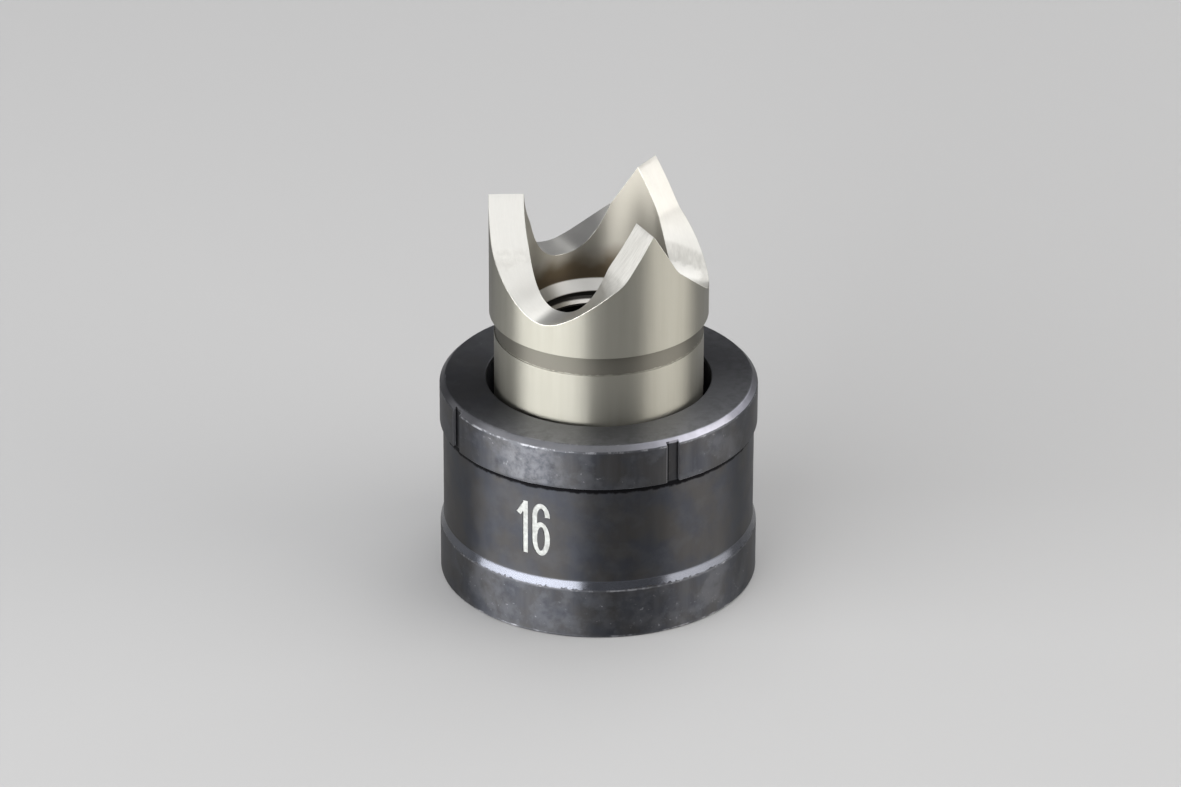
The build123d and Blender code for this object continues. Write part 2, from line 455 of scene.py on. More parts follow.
def cut(piece, cutters):
    """Takes the cutters out of a piece, cleans the result, and removes the cutters."""
    shapes = bpy.data.collections.new("cutters")
    for cutter in cutters:
        bmesh.ops.scale(cutter, vec=(MM, MM, MM), verts=cutter.verts)
        mesh = bpy.data.meshes.new("cutter")
        cutter.to_mesh(mesh)
        cutter.free()
        shapes.objects.link(bpy.data.objects.new("cutter", mesh))
    taken = piece.modifiers.new("cut", "BOOLEAN")
    taken.operand_type = "COLLECTION"
    taken.collection = shapes
    taken.operation = "DIFFERENCE"
    taken.solver = "EXACT"
    result = bpy.data.meshes.new_from_object(piece.evaluated_get(bpy.context.evaluated_depsgraph_get()))
    piece.modifiers.remove(taken)
    clean = bmesh.new()
    clean.from_mesh(result)
    bmesh.ops.remove_doubles(clean, verts=clean.verts[:], dist=WELD * MM)
    bmesh.ops.dissolve_degenerate(clean, edges=clean.edges[:], dist=WELD * MM)
    bmesh.ops.dissolve_verts(clean, verts=[vert for vert in clean.verts if len(vert.link_edges) == 2])
    clean.to_mesh(result)
    clean.free()
    result.name = piece.data.name
    piece.data = result
    for shape in shapes.objects[:]:
        bpy.data.objects.remove(shape)
    bpy.data.collections.remove(shapes)


def make_die(*materials):
    """The die: a turned cup with rounded edges, four notches and the engraved number."""
    shell = turned([
        (STUD_HOLE_RADIUS + STUD_HOLE_CHAMFER, 0, EDGE_ROUNDING),
        (BAND_RADIUS - FOOT_CHAMFER, 0, EDGE_ROUNDING),
        (BAND_RADIUS, FOOT_CHAMFER, EDGE_ROUNDING),
        (BAND_RADIUS, FOOT_BAND_HEIGHT, TAPER_ROUNDING),
        (WAIST_RADIUS, TAPER_TOP, TAPER_ROUNDING),
        (WAIST_RADIUS, MOUTH_BAND_BOTTOM, 0),
        (BAND_RADIUS, MOUTH_BAND_BOTTOM, EDGE_ROUNDING),
        (BAND_RADIUS, DIE_HEIGHT - MOUTH_CHAMFER, SOFT_ROUNDING),
        (BAND_RADIUS - MOUTH_CHAMFER, DIE_HEIGHT, SOFT_ROUNDING),
        (DIE_BORE_RADIUS, DIE_HEIGHT, SOFT_ROUNDING),
        (DIE_BORE_RADIUS, FLOOR_THICKNESS, EDGE_ROUNDING),
        (STUD_HOLE_RADIUS, FLOOR_THICKNESS, EDGE_ROUNDING),
        (STUD_HOLE_RADIUS, STUD_HOLE_CHAMFER, EDGE_ROUNDING),
    ])
    piece = finished("die_body", shell, "die", "die_black_oxide", *materials)
    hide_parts("die")
    cut(piece, notch_cutters() + number_cutters())
    shaded(piece)


def flank_height(radius, off_middle):
    """Height of a point's flat flank, which falls away from its level ridge."""
    off_ridge = radius * sin(radians(HALF_PITCH - off_middle))
    return POINT_HEIGHT - off_ridge * tan(radians(FLANK_ANGLE))


def sharp_ruling(off_middle):
    """Where a ruling meets the bore and the outside: (angle, height) of each, off a scallop's middle."""
    if off_middle > FLANK_FOOT:
        share = (off_middle - FLANK_FOOT) / (HALF_PITCH - FLANK_FOOT)
        inside = FLANK_FOOT_INSIDE + share * (HALF_PITCH - FLANK_FOOT_INSIDE)
        outside = FLANK_FOOT_OUTSIDE + share * (HALF_PITCH - FLANK_FOOT_OUTSIDE)
        ends = (inside, flank_height(CROWN_BORE_RADIUS, inside))
        return ends, (outside, flank_height(CUTTING_RADIUS, outside))
    along = off_middle / FLANK_FOOT
    rise = sqrt(along ** 2 + ROOT_FLATNESS ** 2) - ROOT_FLATNESS
    rise /= sqrt(1 + ROOT_FLATNESS ** 2) - ROOT_FLATNESS
    foot_inside = flank_height(CROWN_BORE_RADIUS, FLANK_FOOT_INSIDE)
    foot_outside = flank_height(CUTTING_RADIUS, FLANK_FOOT_OUTSIDE)
    inside = FLANK_FOOT_INSIDE * rise ** (1 / ROOT_POWER_INSIDE)
    ends = (inside, SCALLOP_ROOT + rise * (foot_inside - SCALLOP_ROOT))
    return ends, (FLANK_FOOT_OUTSIDE * along, SCALLOP_ROOT + rise * (foot_outside - SCALLOP_ROOT))


def crown_ruling(off_middle):
    """A ruling's two ends, with the bend at a flank's foot rounded."""
    ends = sharp_ruling(off_middle)
    near = FOOT_ROUNDING - abs(off_middle - FLANK_FOOT)
    if near <= 0:
        return ends
    rounded = []
    steps = (-FOOT_ROUNDING, 0, FOOT_ROUNDING)
    for end, below, foot, above in zip(ends, *(sharp_ruling(FLANK_FOOT + step) for step in steps)):
        run_below = foot[0] - below[0]
        run_above = above[0] - foot[0]
        bend = (above[1] - foot[1]) / run_above - (foot[1] - below[1]) / run_below
        lift = bend / (1 / run_below + 1 / run_above) / 2 * (near / FOOT_ROUNDING) ** 2
        rounded.append((end[0], end[1] + lift))
    return rounded


def make_crown(shell):
    """Gives the crown of a turned blank its scallops, by moving its columns and its top."""
    wall_middle = (CROWN_BORE_RADIUS + CUTTING_RADIUS) / 2
    pitch = 2 * HALF_PITCH
    top = {True: [], False: []}
    for vert in shell.verts:
        radius = hypot(vert.co.x, vert.co.y)
        polar = degrees(atan2(vert.co.y, vert.co.x))
        off_middle = (polar + HALF_PITCH) % pitch - HALF_PITCH
        middle = polar - off_middle
        is_outside = radius > wall_middle
        angle, height = crown_ruling(abs(off_middle))[is_outside]
        polar = radians(middle + (angle if off_middle > 0 else -angle))
        if vert.co.z > POINT_HEIGHT - WELD:
            top[is_outside].append(vert)
        else:
            height = vert.co.z
        vert.co = (radius * cos(polar), radius * sin(polar), height)
    crown = set(top[True] + top[False])
    for face in shell.faces:
        if crown.issuperset(face.verts):
            face.material_index = MILLED_SLOT
    for ring in top.values():
        members = set(ring)
        edges = [edge for edge in shell.edges if members.issuperset(edge.verts)]
        rounded = bmesh.ops.bevel(shell, geom=edges, offset=CROWN_EDGE, offset_type="OFFSET",
                                  affect="EDGES", segments=CROWN_EDGE_STEPS, profile=0.5, material=-1)
        for face in rounded["faces"]:
            face.material_index = EDGE_SLOT


def make_punch(*materials):
    """The punch: a turned blank with rounded edges, scalloped to three points."""
    shell = turned([
        (THREAD_RADIUS + THREAD_FOOT_CHAMFER, FLOOR_THICKNESS, EDGE_ROUNDING),
        (SHANK_RADIUS - FOOT_EDGE_CHAMFER, FLOOR_THICKNESS, EDGE_ROUNDING),
        (SHANK_RADIUS, FLOOR_THICKNESS + FOOT_EDGE_CHAMFER, EDGE_ROUNDING),
        (SHANK_RADIUS, SHANK_TOP, EDGE_ROUNDING),
        (NECK_RADIUS, SHANK_TOP, 0),
        (NECK_RADIUS, NECK_TOP, 0),
        (CUTTING_RADIUS, NECK_TOP, EDGE_ROUNDING),
        (CUTTING_RADIUS, POINT_HEIGHT, 0),
        (CROWN_BORE_RADIUS, POINT_HEIGHT, 0),
        (CROWN_BORE_RADIUS, COUNTERSINK_TOP, SOFT_ROUNDING),
        (THREAD_RADIUS, THREAD_TOP, EDGE_ROUNDING),
        (THREAD_RADIUS, FLOOR_THICKNESS + THREAD_FOOT_CHAMFER, EDGE_ROUNDING),
    ])
    make_crown(shell)
    piece = finished("punch_body", shell, "punch", "punch_satin_nickel", *materials)
    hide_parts("punch")
    shaded(piece)


def make_thread(*materials):
    """The thread's ridge, one helix up the bore of the punch."""
    ridge = bmesh.new()
    root = THREAD_PITCH / 2 - THREAD_CREST / 2
    section = [
        (THREAD_RADIUS + THREAD_SEAT, -root),
        (THREAD_RADIUS - THREAD_DEPTH, -THREAD_CREST / 2),
        (THREAD_RADIUS - THREAD_DEPTH, THREAD_CREST / 2),
        (THREAD_RADIUS + THREAD_SEAT, root),
    ]
    bottom = FLOOR_THICKNESS + THREAD_FOOT_CHAMFER + root
    turns = (THREAD_TOP - root - bottom) / THREAD_PITCH
    steps = round(turns * THREAD_STEPS)
    outwards = Vector((cos(radians(THREAD_START)), sin(radians(THREAD_START)), 0))
    corners = [outwards * radius + Vector((0, 0, bottom + height)) for radius, height in section]
    face = ridge.faces.new([ridge.verts.new(corner) for corner in corners])
    bmesh.ops.spin(ridge, geom=[face], cent=(0, 0, 0), axis=(0, 0, 1), angle=2 * pi * turns,
                   dvec=(0, 0, turns * THREAD_PITCH / steps), steps=steps)
    bmesh.ops.recalc_face_normals(ridge, faces=ridge.faces[:])
    piece = finished("punch_thread", ridge, "punch", "punch_satin_nickel", *materials)
    shaded(piece)


def node(tree, kind, sockets=None, **settings):
    """One shader node. A socket takes another node's output, or a value."""
    made = tree.nodes.new(kind)
    for name, value in settings.items():
        setattr(made, name, value)
    for name, source in (sockets or {}).items():
        join(tree, source, made.inputs[name])
    return made


def join(tree, source, socket):
    """Links a source to a socket, or sets the socket's value. A colour is given without its alpha."""
    if isinstance(source, bpy.types.NodeSocket):
        tree.links.new(source, socket)
    elif socket.type == "RGBA":
        socket.default_value = (*source, 1)
    else:
        socket.default_value = source


def maths(tree, operation, *sources):
    """The result of one arithmetic step."""
    return node(tree, "ShaderNodeMath", dict(enumerate(sources)), operation=operation).outputs[0]


def product(tree, *sources):
    """Several values or masks multiplied."""
    result = sources[0]
    for source in sources[1:]:
        result = maths(tree, "MULTIPLY", result, source)
    return result


def inverse(tree, mask):
    """One less the mask."""
    return maths(tree, "SUBTRACT", 1.0, mask)


def distance(tree, x, y):
    """How far a point is from the origin, from its x and y."""
    return maths(tree, "SQRT", maths(tree, "ADD", product(tree, x, x), product(tree, y, y)))


def parts_of(tree, vector):
    """A vector's x, y and z."""
    return node(tree, "ShaderNodeSeparateXYZ", {0: vector}).outputs


def vector_of(tree, *parts):
    """A vector from its parts, where a part left out at the end is 0."""
    return node(tree, "ShaderNodeCombineXYZ", dict(enumerate(parts))).outputs[0]


def ramp(tree, value, low, high):
    """A mask that rises smoothly from 0 to 1 while a value goes from low to high."""
    sockets = {"Value": value, "From Min": low, "From Max": high, "To Min": 0.0, "To Max": 1.0}
    return node(tree, "ShaderNodeMapRange", sockets, interpolation_type="SMOOTHSTEP").outputs["Result"]


def above(tree, value, level, edge):
    """A mask that is 1 where a value is above a level, with an edge of a given softness."""
    return ramp(tree, value, maths(tree, "SUBTRACT", level, edge), maths(tree, "ADD", level, edge))


def between(tree, value, low, high, edge):
    """A mask that is 1 while a value lies between low and high, with edges of a given softness."""
    return product(tree, above(tree, value, low, edge), inverse(tree, above(tree, value, high, edge)))


def mix(tree, kind, mask, first, second):
    """Goes from the first source to the second as the mask rises, for sources of one kind."""
    first_socket, second_socket, result = MIX_SOCKETS[kind]
    made = node(tree, "ShaderNodeMix", data_type=kind)
    join(tree, mask, made.inputs[0])
    join(tree, first, made.inputs[first_socket])
    join(tree, second, made.inputs[second_socket])
    return made.outputs[result]


def mixed(tree, mask, first, second, strength=None):
    """A colour that goes from the first to the second as the mask rises, as far as a strength."""
    if strength is not None:
        mask = product(tree, mask, strength)
    return mix(tree, "RGBA", mask, first, second)


def blended(tree, mask, first, second):
    """A value that goes from the first to the second as the mask rises."""
    return mix(tree, "FLOAT", mask, first, second)


def noise(tree, vector, scale=1.0, detail=3.0, roughness=0.55):
    """Fractal noise about 0.5."""
    sockets = {"Vector": vector, "Scale": scale, "Detail": detail, "Roughness": roughness}
    return node(tree, "ShaderNodeTexNoise", sockets).outputs["Fac"]


def spot_in_millimetres(tree):
    """Where a spot is on its piece, in millimetres."""
    place = node(tree, "ShaderNodeTexCoord").outputs["Object"]
    scaled = node(tree, "ShaderNodeVectorMath", {0: place, "Scale": 1 / MM}, operation="SCALE")
    return scaled.outputs["Vector"]


def effect(name, inputs, outputs):
    """An empty node group with float sockets: the group, its inputs and its outputs."""
    tree = bpy.data.node_groups.new(name, "ShaderNodeTree")
    for socket_name, value in inputs.items():
        socket = tree.interface.new_socket(socket_name, in_out="INPUT", socket_type="NodeSocketFloat")
        socket.default_value = value
    for socket_name in outputs:
        tree.interface.new_socket(socket_name, in_out="OUTPUT", socket_type="NodeSocketFloat")
    return tree, tree.nodes.new("NodeGroupInput").outputs, tree.nodes.new("NodeGroupOutput").inputs


def placed(tree, group, **values):
    """The outputs of a node group placed in a tree, with its inputs' values."""
    made = tree.nodes.new("ShaderNodeGroup")
    made.node_tree = group
    for name, source in values.items():
        join(tree, source, made.inputs[name.replace("_", " ").title()])
    return made.outputs


def masked(tree, group, **values):
    """The mask that a node group placed in a tree gives."""
    return placed(tree, group, **values)["Mask"]


def lathe_position():
    """Group: a spot's heading on a turned piece in radians, and its radius and height in millimetres."""
    tree, _, out = effect("lathe_position", {}, ["Heading", "Radius", "Height"])
    x, y, z = parts_of(tree, spot_in_millimetres(tree))
    join(tree, maths(tree, "ARCTAN2", x, product(tree, y, -1.0)), out["Heading"])
    join(tree, distance(tree, x, y), out["Radius"])
    join(tree, z, out["Height"])
    return tree


def clouding():
    """Group: a soft cloudy mask, with less of it at a higher level."""
    inputs = {"Size": 1.0, "Level": 0.5, "Softness": 0.1, "Detail": 5.0, "Roughness": 0.55}
    tree, entry, out = effect("clouding", inputs, ["Mask"])
    scale = maths(tree, "DIVIDE", 1.0, entry["Size"])
    cloud = noise(tree, spot_in_millimetres(tree), scale, entry["Detail"], entry["Roughness"])
    join(tree, above(tree, cloud, entry["Level"], entry["Softness"]), out["Mask"])
    return tree


def streaking():
    """Group: a mask of streaks, given by how far they run along each axis of a piece."""
    inputs = {"Length X": 1.0, "Length Y": 1.0, "Length Z": 1.0, "Level": 0.5, "Softness": 0.1}
    tree, entry, out = effect("streaking", inputs, ["Mask"])
    parts = zip(parts_of(tree, spot_in_millimetres(tree)), "XYZ")
    shrunk = [maths(tree, "DIVIDE", part, entry["Length " + axis]) for part, axis in parts]
    streak = noise(tree, vector_of(tree, *shrunk), detail=4.0)
    join(tree, above(tree, streak, entry["Level"], entry["Softness"]), out["Mask"])
    return tree


def rim_wear(lathe):
    """Group: a worn line along one turned edge, given by its radius and height, with ragged sides."""
    inputs = {"Edge Radius": 1.0, "Edge Height": 1.0, "Width": 0.1, "Raggedness": 0.5}
    tree, entry, out = effect("rim_wear", inputs, ["Mask"])
    spot = placed(tree, lathe)
    off_radius = maths(tree, "SUBTRACT", spot["Radius"], entry["Edge Radius"])
    off_height = maths(tree, "SUBTRACT", spot["Height"], entry["Edge Height"])
    ragged = noise(tree, spot_in_millimetres(tree), scale=1.6, detail=6.0, roughness=0.7)
    ragged = maths(tree, "SUBTRACT", ragged, NOISE_MIDDLE)
    share = maths(tree, "ADD", product(tree, ragged, entry["Raggedness"], RAGGED_REACH), 1.0)
    width = product(tree, entry["Width"], share)
    off_edge = distance(tree, off_radius, off_height)
    unworn = ramp(tree, off_edge, product(tree, width, WORN_CORE), width)
    join(tree, inverse(tree, unworn), out["Mask"])
    return tree


def metal(name, colour, roughness, anisotropy=0.0):
    """A new metal: its material, its node tree and its shader. Lathe marks run round the Z axis."""
    material = bpy.data.materials.new(name)
    material.use_nodes = True
    tree = material.node_tree
    shader = tree.nodes["Principled BSDF"]
    values = {"Base Color": colour, "Metallic": 1.0, "Roughness": roughness}
    if anisotropy:
        outwards = node(tree, "ShaderNodeTexCoord").outputs["Normal"]
        across_x, across_y, _ = parts_of(tree, outwards)
        x, y, _ = parts_of(tree, spot_in_millimetres(tree))
        along_x = maths(tree, "ADD", product(tree, across_y, -1.0), product(tree, y, -FACE_SHARE))
        along_y = maths(tree, "ADD", across_x, product(tree, x, FACE_SHARE))
        values["Tangent"] = vector_of(tree, along_x, along_y)
        values["Anisotropic"] = anisotropy
        values["Anisotropic Rotation"] = QUARTER_TURN
    for socket_name, source in values.items():
        join(tree, source, shader.inputs[socket_name])
    return material, tree, shader


def bumped(tree, shader, height, strength, depth):
    """Relief on a shader from a height value, with its depth in millimetres."""
    sockets = {"Height": height, "Strength": strength, "Distance": depth * MM}
    join(tree, node(tree, "ShaderNodeBump", sockets).outputs["Normal"], shader.inputs["Normal"])


def on_side(tree, spot, side):
    """A mask of one side of the die, given by where it starts and ends and how softly, in degrees."""
    start, end, edge = side
    return between(tree, spot["Heading"], radians(start), radians(end), radians(edge))


def notch_places(tree, spot):
    """Masks of the die's notches: their left edges, floors, the shade by each left wall, and walls."""
    radius = spot["Radius"]
    half_turn = pi / NOTCH_COUNT
    half_width = NOTCH_WIDTH / 2
    turn = maths(tree, "SUBTRACT", spot["Heading"], radians(NOTCH_HEADING))
    across = product(tree, maths(tree, "WRAP", turn, half_turn, -half_turn), radius)
    in_band = ramp(tree, spot["Height"], MOUTH_BAND_BOTTOM, MOUTH_BAND_BOTTOM + 0.1)

    off_edge = maths(tree, "ABSOLUTE", maths(tree, "ADD", across, half_width))
    near_edge = inverse(tree, ramp(tree, off_edge, *NOTCH_LINE))
    near_surface = ramp(tree, radius, BAND_RADIUS - 0.12, BAND_RADIUS - MARGIN)
    at_edge = product(tree, near_edge, in_band, near_surface)

    between_walls = between(tree, across, -half_width, half_width, edge=NOTCH_EDGE)
    sunk = between(tree, radius, WAIST_RADIUS - MARGIN, WAIST_RADIUS + 2 * MARGIN, edge=NOTCH_EDGE)
    low, high = (DIE_HEIGHT - below for below in NOTCH_TOP)
    below_chamfer = inverse(tree, ramp(tree, spot["Height"], low, high))
    on_floor = product(tree, between_walls, sunk, in_band, below_chamfer)
    near, far = (off_wall - half_width for off_wall in NOTCH_SHADE)
    by_left_wall = inverse(tree, ramp(tree, across, near, far))

    off_middle = maths(tree, "ABSOLUTE", across)
    at_wall = between(tree, off_middle, half_width - NOTCH_WALL, half_width + NOTCH_WALL, edge=NOTCH_EDGE)
    up_wall = between(tree, radius, WAIST_RADIUS + NOTCH_WALL, BAND_RADIUS - NOTCH_WALL / 2, edge=NOTCH_EDGE)
    on_walls = product(tree, at_wall, in_band, up_wall)
    return at_edge, on_floor, product(tree, on_floor, by_left_wall), on_walls


def with_face(tree, colour, spot, smears, streaks):
    """A colour with the die's rubbed and scratched top face, paler over its front and right as a painted
    reflection, and the mask of that face.
    """
    on_face = ramp(tree, spot["Height"], DIE_HEIGHT - MARGIN, DIE_HEIGHT - MARGIN / 4)
    # Over this side the face is rubbed further and scuffed, as a painted reflection
    reflection_side = on_side(tree, spot, FACE_REFLECTION_SIDE)
    rubbed = product(tree, on_face, blended(tree, reflection_side, *FACE_WEAR_AND_REFLECTION))
    colour = mixed(tree, rubbed, colour, FACE_COLOUR)
    scratches = masked(tree, streaks, length_x=0.8, length_y=0.07, length_z=1.0, level=0.65, softness=0.03)
    outwards = ramp(tree, spot["Radius"], DIE_BORE_RADIUS + 0.4, BAND_RADIUS - 0.5)
    smeared = product(tree, smears, blended(tree, outwards, *FACE_SMEARED))
    scuffed = maths(tree, "MAXIMUM", smeared, product(tree, scratches, 0.3))
    return mixed(tree, product(tree, scuffed, on_face, reflection_side), colour, BARE_COLOUR), on_face


def with_worn_edges(tree, colour, clouds, wear):
    """A colour with the die's turned edges worn grey, and bare in places."""
    bared = masked(tree, clouds, size=1.6, level=0.56, softness=0.07, detail=6.0, roughness=0.7)
    worn_colour = mixed(tree, bared, RUBBED_COLOUR, BARE_COLOUR)
    for radius, height, width in WORN_EDGES:
        worn = masked(tree, wear, edge_radius=radius, edge_height=height, width=width)
        colour = mixed(tree, worn, colour, worn_colour, strength=0.7)
    return colour


def with_chamfer(tree, colour, spot, clouds):
    """A colour with the bright chamfer at the die's mouth, brighter still over its right stretch as a
    painted highlight, and the mask of that chamfer.
    """
    uneven = masked(tree, clouds, size=0.8, softness=0.3)
    low = maths(tree, "ADD", DIE_HEIGHT - MOUTH_CHAMFER + 0.03, product(tree, uneven, CHAMFER_RAGGEDNESS))
    chamfer = between(tree, spot["Height"], low, DIE_HEIGHT - MARGIN, edge=MARGIN)
    # Over one stretch the chamfer takes a painted highlight
    chamfer_colour = mixed(tree, on_side(tree, spot, CHAMFER_HIGHLIGHT_SIDE), CHAMFER_DULL, CHAMFER_PAINTED_HIGHLIGHT)
    shown = product(tree, chamfer, blended(tree, uneven, *CHAMFER_SHOWN))
    return mixed(tree, shown, colour, chamfer_colour), chamfer


def under_band(tree, spot, clouds):
    """A mask of painted shade in the corner under the die's mouth band, ragged at its lower side."""
    ragged = masked(tree, clouds, size=0.6, softness=0.3)
    low = maths(tree, "SUBTRACT", MOUTH_BAND_BOTTOM - 0.32, product(tree, ragged, CORNER_RAGGEDNESS))
    in_corner = between(tree, spot["Height"], low, MOUTH_BAND_BOTTOM + MARGIN, edge=0.09)
    recessed = inverse(tree, ramp(tree, spot["Radius"], WAIST_RADIUS + 0.1, BAND_RADIUS))
    return product(tree, in_corner, recessed, 0.93)


def in_number(tree, spot):
    """A mask of the engraved number."""
    in_wall = between(tree, spot["Radius"], DIE_BORE_RADIUS + 1, WAIST_RADIUS - NUMBER_DEPTH / 2, edge=0.008)
    in_waist = between(tree, spot["Height"], TAPER_TOP, MOUTH_BAND_BOTTOM - 0.5, edge=0.05)
    return product(tree, in_wall, in_waist)


def black_oxide(lathe, clouds, streaks, wear):
    """The die's finish: black oxide over turned steel, rubbed grey on its bands and edges, with painted
    shade under its mouth band and in its notches.
    """
    material, tree, shader = metal("black_oxide", OXIDE_COOL, roughness=0.5, anisotropy=0.85)
    spot = placed(tree, lathe)
    height = spot["Height"]

    on_bands = inverse(tree, between(tree, height, FOOT_BAND_HEIGHT, MOUTH_BAND_BOTTOM, edge=0.05))
    tints = masked(tree, clouds, size=2.4, softness=0.16)
    colour = mixed(tree, tints, OXIDE_COOL, OXIDE_WARM)
    patches = masked(tree, clouds, size=1.9, level=0.52, softness=0.14, roughness=0.6)
    # Long upright streaks are painted reflections; with the patches they set where the die is rubbed grey
    streak_sheen = masked(tree, streaks, length_x=0.9, length_y=0.9, length_z=9.0, softness=0.25)
    mottled = maths(tree, "MAXIMUM", patches, product(tree, streak_sheen, 0.5))
    rubbed = product(tree, mottled, blended(tree, on_bands, *BAND_RUBBED))
    colour = mixed(tree, rubbed, colour, RUBBED_COLOUR)
    scuffs = masked(tree, clouds, size=0.4, level=0.66, softness=0.04, detail=6.0, roughness=0.7)
    scuffed = product(tree, scuffs, patches, on_bands)
    colour = mixed(tree, scuffed, colour, BARE_COLOUR, strength=0.5)
    smears = masked(tree, clouds, size=0.7, level=0.46, softness=0.2, detail=6.0, roughness=0.65)
    # A patch rubbed bare on the front left of the mouth band, partly wear and partly a painted highlight
    up_band = ramp(tree, height, MOUTH_BAND_BOTTOM, MOUTH_BAND_BOTTOM + 0.3)
    handled_and_highlight = product(tree, on_side(tree, spot, HANDLED_AND_HIGHLIGHT_SIDE), smears, up_band)
    colour = mixed(tree, handled_and_highlight, colour, BARE_COLOUR, strength=0.24)

    nicks = masked(tree, clouds, size=0.35, level=0.56)
    polished_from = maths(tree, "ADD", FOOT_BAND_HEIGHT + MARGIN, product(tree, nicks, TAPER_RAGGEDNESS))
    polished = between(tree, height, polished_from, TAPER_TOP - MARGIN, edge=0.04)
    colour = mixed(tree, polished, colour, OXIDE_TAPER)
    colour, on_face = with_face(tree, colour, spot, smears, streaks)
    colour = with_worn_edges(tree, colour, clouds, wear)
    colour, chamfer = with_chamfer(tree, colour, spot, clouds)

    notch_edge, notch_floor, notch_shade, notch_walls = notch_places(tree, spot)
    colour = mixed(tree, notch_edge, colour, BARE_COLOUR, strength=0.25)
    colour = mixed(tree, notch_walls, colour, BARE_COLOUR, strength=0.5)
    # Painted shade: the notches' floors darkened, darkest by each left wall, and the corner under the mouth
    # band near-black
    notch_painted_shade = maths(tree, "MAXIMUM", product(tree, notch_floor, 0.35), product(tree, notch_shade, 0.85))
    painted_shade = maths(tree, "MAXIMUM", under_band(tree, spot, clouds), notch_painted_shade)
    colour = mixed(tree, painted_shade, colour, PAINTED_SHADE_COLOUR)
    number = in_number(tree, spot)
    bitten = masked(tree, clouds, size=0.3, softness=0.2)
    colour = mixed(tree, number, colour, mixed(tree, bitten, NUMBER_COLOUR, NUMBER_DULL))
    join(tree, colour, shader.inputs["Base Color"])

    finishes = [
        (polished, TAPER_ROUGHNESS),
        (painted_shade, PAINTED_SHADE_ROUGHNESS),
        (chamfer, CHAMFER_ROUGHNESS),
        (notch_walls, NOTCH_WALL_ROUGHNESS),
        (on_face, FACE_ROUGHNESS),
        (number, NUMBER_ROUGHNESS),
    ]
    roughness = blended(tree, patches, *OXIDE_ROUGHNESS)
    for mask, finish in finishes:
        roughness = blended(tree, mask, roughness, finish)
    join(tree, roughness, shader.inputs["Roughness"])
    grain = masked(tree, clouds, size=0.22, softness=0.4, detail=3.0)
    relief = maths(tree, "SUBTRACT", grain, product(tree, scuffed, 1.5))
    bumped(tree, shader, relief, strength=0.2, depth=0.005)
    return material


def satin_nickel(lathe, clouds, streaks):
    """The punch's finish: satin nickel on turned steel, with painted upright reflection streaks, a dull
    neck, a bore that darkens towards its foot, and painted shade between the thread's ridges.
    """
    material, tree, shader = metal("satin_nickel", NICKEL_COLOUR, roughness=0.5, anisotropy=0.9)
    spot = placed(tree, lathe)
    height = spot["Height"]

    patches = masked(tree, clouds, size=3.0, softness=0.25)
    # Long upright streaks are painted reflections, mixed with patches of paler tone
    fine = masked(tree, streaks, length_x=0.7, length_y=0.7, length_z=14.0, softness=0.3)
    tone_and_sheen = blended(tree, fine, product(tree, patches, 0.6), 1.0)
    colour = mixed(tree, tone_and_sheen, NICKEL_COLOUR, NICKEL_LIGHT)
    outside = ramp(tree, spot["Radius"], CROWN_BORE_RADIUS + 0.5, CROWN_BORE_RADIUS + 0.6)
    ragged = masked(tree, clouds, size=0.3, softness=0.3)
    neck_low = maths(tree, "ADD", SHANK_TOP - MARGIN, product(tree, ragged, NECK_RAGGEDNESS))
    neck = product(tree, between(tree, height, neck_low, NECK_TOP, edge=MARGIN), outside)
    colour = mixed(tree, neck, colour, NECK_COLOUR)

    inside = inverse(tree, outside)
    colour = mixed(tree, inside, colour, BORE_COLOUR, strength=0.9)
    # The bore darkens and browns towards its foot
    darkening_noise = masked(tree, clouds, size=2.5, softness=0.4, detail=2.0)
    darkening_top = maths(tree, "ADD", COUNTERSINK_TOP + BORE_DARKENING_FADE, product(tree, darkening_noise, BORE_DARKENING_RAGGEDNESS))
    darkened_low = inverse(tree, ramp(tree, height, maths(tree, "SUBTRACT", darkening_top, BORE_DARKENING_FADE), darkening_top))
    colour = mixed(tree, product(tree, darkened_low, inside), colour, BORE_DARKENED_COLOUR, strength=0.85)
    seat = product(tree, between(tree, height, THREAD_TOP, COUNTERSINK_TOP, edge=0.05), inside)
    colour = mixed(tree, seat, colour, SEAT_COLOUR)
    # Painted shade: the bore wall between the thread's ridges is near-black
    threaded = inverse(tree, ramp(tree, height, THREAD_TOP - 0.05, THREAD_TOP))
    colour = mixed(tree, product(tree, threaded, inside), colour, THREAD_GROOVE_SHADE)
    join(tree, colour, shader.inputs["Base Color"])

    roughness = blended(tree, patches, *NICKEL_ROUGHNESS)
    for mask, finish in [(neck, DULL_ROUGHNESS), (inside, DULL_ROUGHNESS), (seat, SEAT_ROUGHNESS)]:
        roughness = blended(tree, mask, roughness, finish)
    join(tree, roughness, shader.inputs["Roughness"])
    return material


